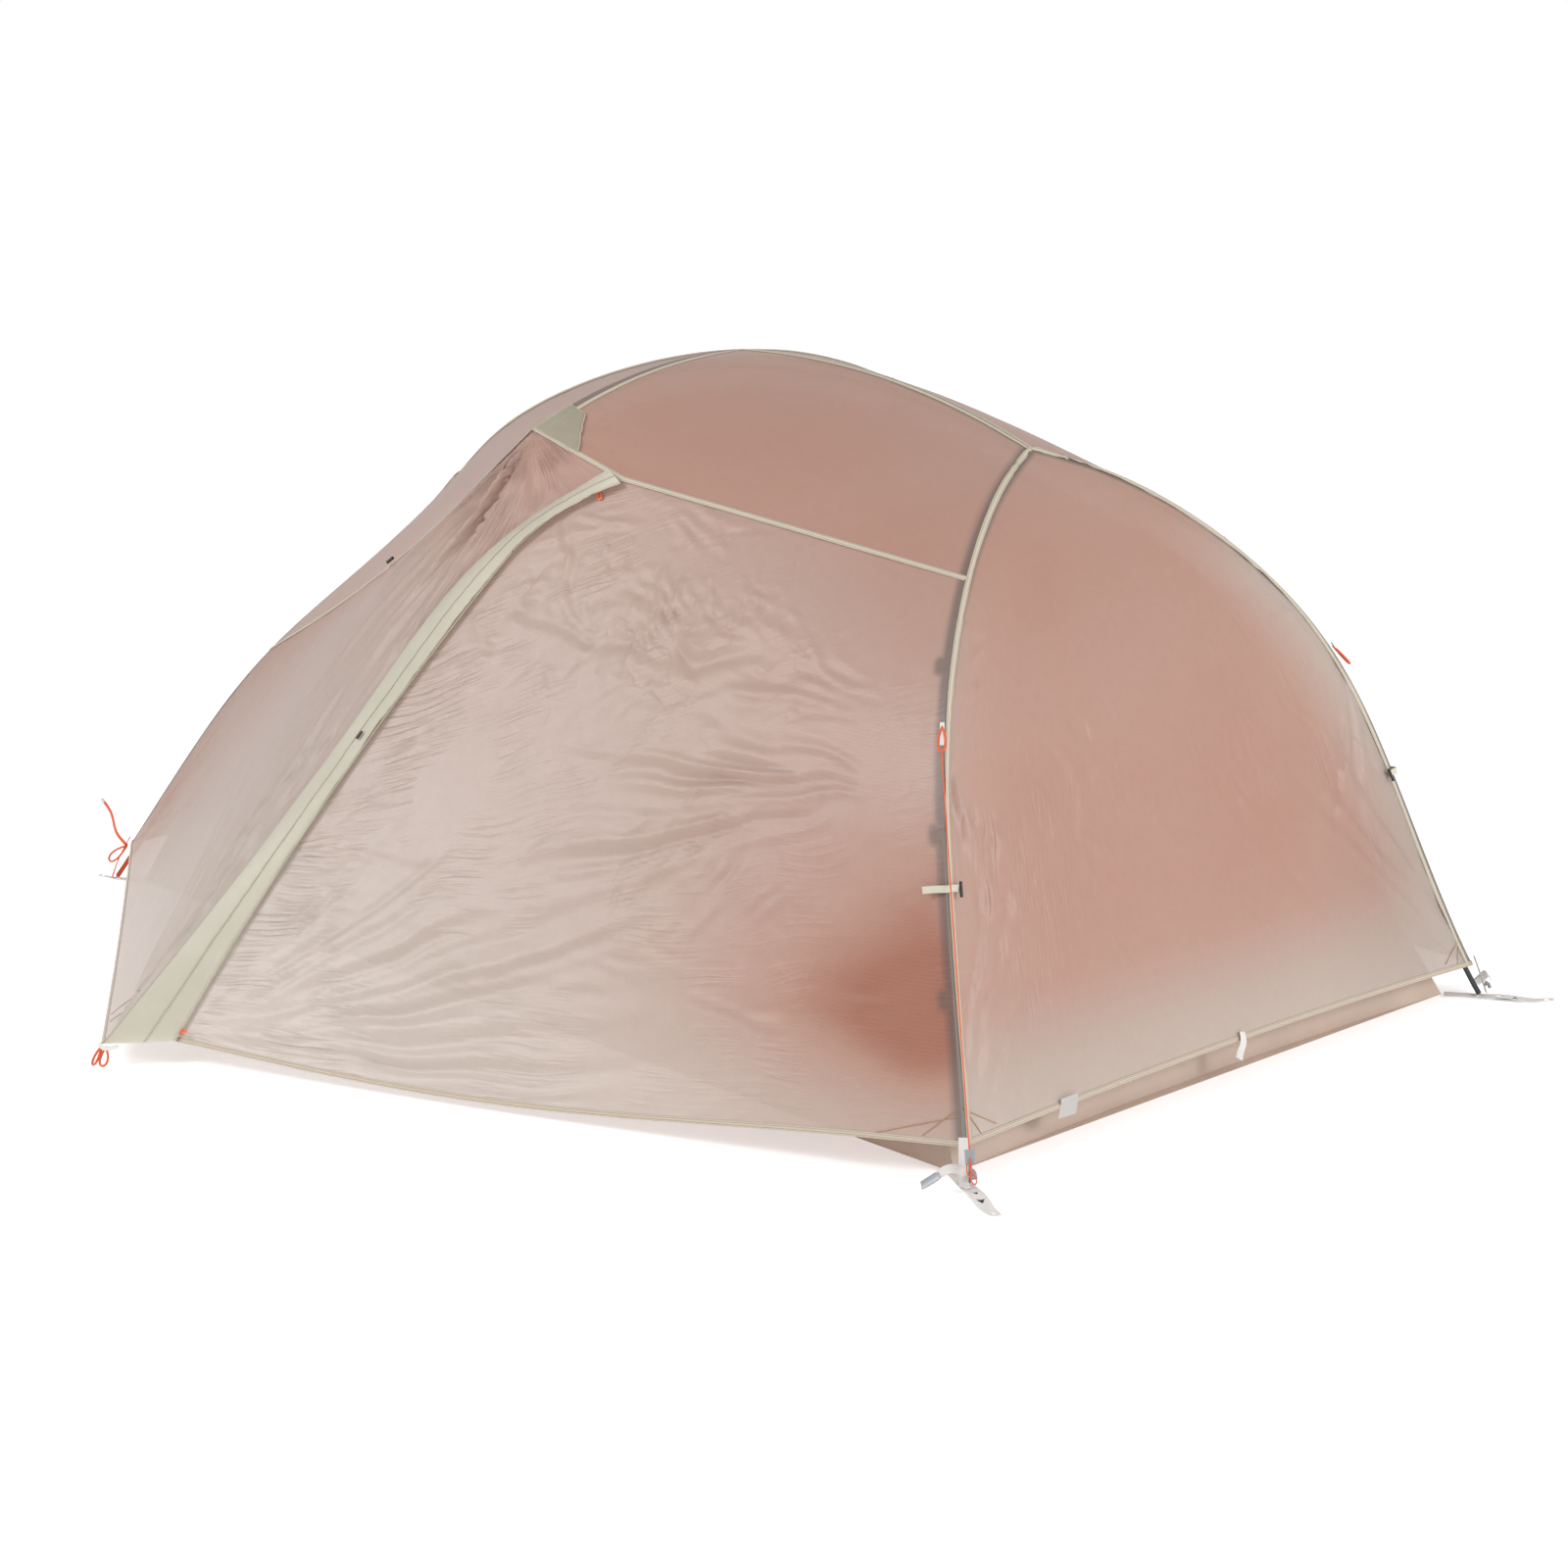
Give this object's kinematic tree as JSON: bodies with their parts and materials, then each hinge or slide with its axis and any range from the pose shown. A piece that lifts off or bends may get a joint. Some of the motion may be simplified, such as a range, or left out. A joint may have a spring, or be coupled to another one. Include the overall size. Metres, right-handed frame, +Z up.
{
  "type": "frame tent",
  "caption": "Free-standing tent on a hubbed pole frame: inner tent with tub floor, translucent rainfly, and a zipped vestibule door on each side.",
  "frame": {"origin": "centre of the floor's underside, on the ground", "axes": "+X towards the head (wide) end along the ridge, -Y towards the front door, +Z up"},
  "size_m": [2.5692, 2.5694, 1.1138],
  "materials": {
    "fly_shell": "thin translucent coated nylon, slight sheen",
    "fly_flap": "thin coated nylon, pale greenish cream",
    "inner_cloth": "sheer breathable nylon and mesh",
    "floor_cloth": "coated nylon",
    "pale_webbing": "woven webbing",
    "orange_cord": "braided cord and webbing",
    "elastic": "braided elastic",
    "dark_pole": "anodised",
    "copper_pole": "anodised",
    "bare_alloy": "satin",
    "dark_plastic": "moulded",
    "grey_plastic": "moulded",
    "zip_plastic": "woven coil",
    "zip_metal": "cast slider with cord pull"
  },
  "bodies": {
    "frame": {"ridge_pole": "dark_pole", "head_leg_poles": "dark_pole", "foot_leg_poles": "copper_pole", "brow_pole": "dark_pole", "pole_spigots": "bare_alloy", "shock_cords": "elastic", "head_hub": "dark_plastic", "foot_hub": "dark_plastic", "brow_clip": "dark_plastic", "pole_tips": "bare_alloy", "leg_clips": "grey_plastic", "ridge_clips": "grey_plastic", "floor_sheet": "floor_cloth", "tub_walls": "floor_cloth", "inner_roof": "inner_cloth", "inner_head_wall": "inner_cloth", "inner_foot_wall": "inner_cloth", "inner_front_wall": "inner_cloth", "inner_rear_wall": "inner_cloth", "head_corner_ladders": "pale_webbing", "foot_corner_ladders": "orange_cord"},
    "inner_front_door": {"inner_front_door": "inner_cloth"},
    "inner_rear_door": {"inner_rear_door": "inner_cloth"},
    "fly": {"fly_front_head_roof": "fly_shell", "fly_front_foot_roof": "fly_shell", "fly_rear_head_roof": "fly_shell", "fly_rear_foot_roof": "fly_shell", "fly_head_panel": "fly_shell", "fly_foot_panel": "fly_shell", "fly_front_quarter": "fly_shell", "fly_rear_quarter": "fly_shell", "fly_front_vestibule": "fly_shell", "fly_rear_vestibule": "fly_shell", "zip_bands": "fly_flap", "rain_flaps": "fly_flap", "fixed_zip_coils": "zip_plastic", "brow_patches": "fly_flap", "guy_loops": "orange_cord", "guyline": "orange_cord", "head_corner_straps": "pale_webbing", "foot_corner_straps": "orange_cord", "tie_back_straps": "pale_webbing", "seam_toggles": "dark_plastic", "apex_loops": "orange_cord", "hem_tie": "pale_webbing", "hem_label": "pale_webbing"},
    "front_door": {"front_door": "fly_shell", "front_door_coil": "zip_plastic"},
    "rear_door": {"rear_door": "fly_shell", "rear_door_coil": "zip_plastic"},
    "front_upper_slider": {"front_upper_slider": "zip_metal"},
    "front_lower_slider": {"front_lower_slider": "zip_metal"},
    "rear_upper_slider": {"rear_upper_slider": "zip_metal"},
    "rear_lower_slider": {"rear_lower_slider": "zip_metal"},
    "line_lock": {"line_lock": "grey_plastic"},
    "front_toggle": {"front_toggle": "dark_plastic"},
    "rear_toggle": {"rear_toggle": "dark_plastic"}
  },
  "joints": [
    {"name": "fly_lift", "type": "slide", "parent": "frame", "child": "fly", "axis": [0, 0, 1], "range_m": [0, 1.2]},
    {"name": "front_door_hinge", "type": "hinge", "parent": "fly", "child": "front_door", "pos_m": [0.23, -0.46, 0.93], "axis": [-0.7311, 0.1693, 0.6609], "range_deg": [0, 115]},
    {"name": "front_upper_zip_run", "type": "hinge", "parent": "front_door", "child": "front_upper_slider", "pos_m": [0.42374, -0.60278, 0.634], "axis": [0.2213, -0.8138, 0.5374], "range_deg": [0, 21]},
    {"name": "front_lower_zip_run", "type": "hinge", "parent": "front_door", "child": "front_lower_slider", "pos_m": [2.29376, -1.55597, 0.40584], "axis": [0.2184, 0.751, -0.6232], "range_deg": [0, 22]},
    {"name": "inner_front_door_hinge", "type": "hinge", "parent": "frame", "child": "inner_front_door", "pos_m": [-0.26242, -0.53221, 0.18603], "axis": [0.1136, 0.1819, 0.9767], "range_deg": [0, 130]},
    {"name": "front_toggle_swing", "type": "hinge", "parent": "fly", "child": "front_toggle", "pos_m": [1.07556, -0.57227, 0.40357], "axis": [0.315, -0.252, -0.915], "range_deg": [0, 75]},
    {"name": "rear_door_hinge", "type": "hinge", "parent": "fly", "child": "rear_door", "pos_m": [0.23, 0.46, 0.93], "axis": [0.7311, 0.1693, -0.6609], "range_deg": [0, 115]},
    {"name": "rear_upper_zip_run", "type": "hinge", "parent": "rear_door", "child": "rear_upper_slider", "pos_m": [0.42374, 0.60278, 0.634], "axis": [-0.2213, -0.8138, -0.5374], "range_deg": [0, 21]},
    {"name": "rear_lower_zip_run", "type": "hinge", "parent": "rear_door", "child": "rear_lower_slider", "pos_m": [2.29376, 1.55597, 0.40584], "axis": [-0.2184, 0.751, 0.6232], "range_deg": [0, 22]},
    {"name": "inner_rear_door_hinge", "type": "hinge", "parent": "frame", "child": "inner_rear_door", "pos_m": [-0.26242, 0.53221, 0.18603], "axis": [-0.1136, 0.1819, -0.9767], "range_deg": [0, 130]},
    {"name": "rear_toggle_swing", "type": "hinge", "parent": "fly", "child": "rear_toggle", "pos_m": [1.07556, 0.57227, 0.40357], "axis": [-0.315, -0.252, 0.915], "range_deg": [0, 75]},
    {"name": "line_lock_run", "type": "slide", "parent": "fly", "child": "line_lock", "axis": [-0.3581, 0.2835, 0.8896], "range_m": [0, 0.3]}
  ]
}
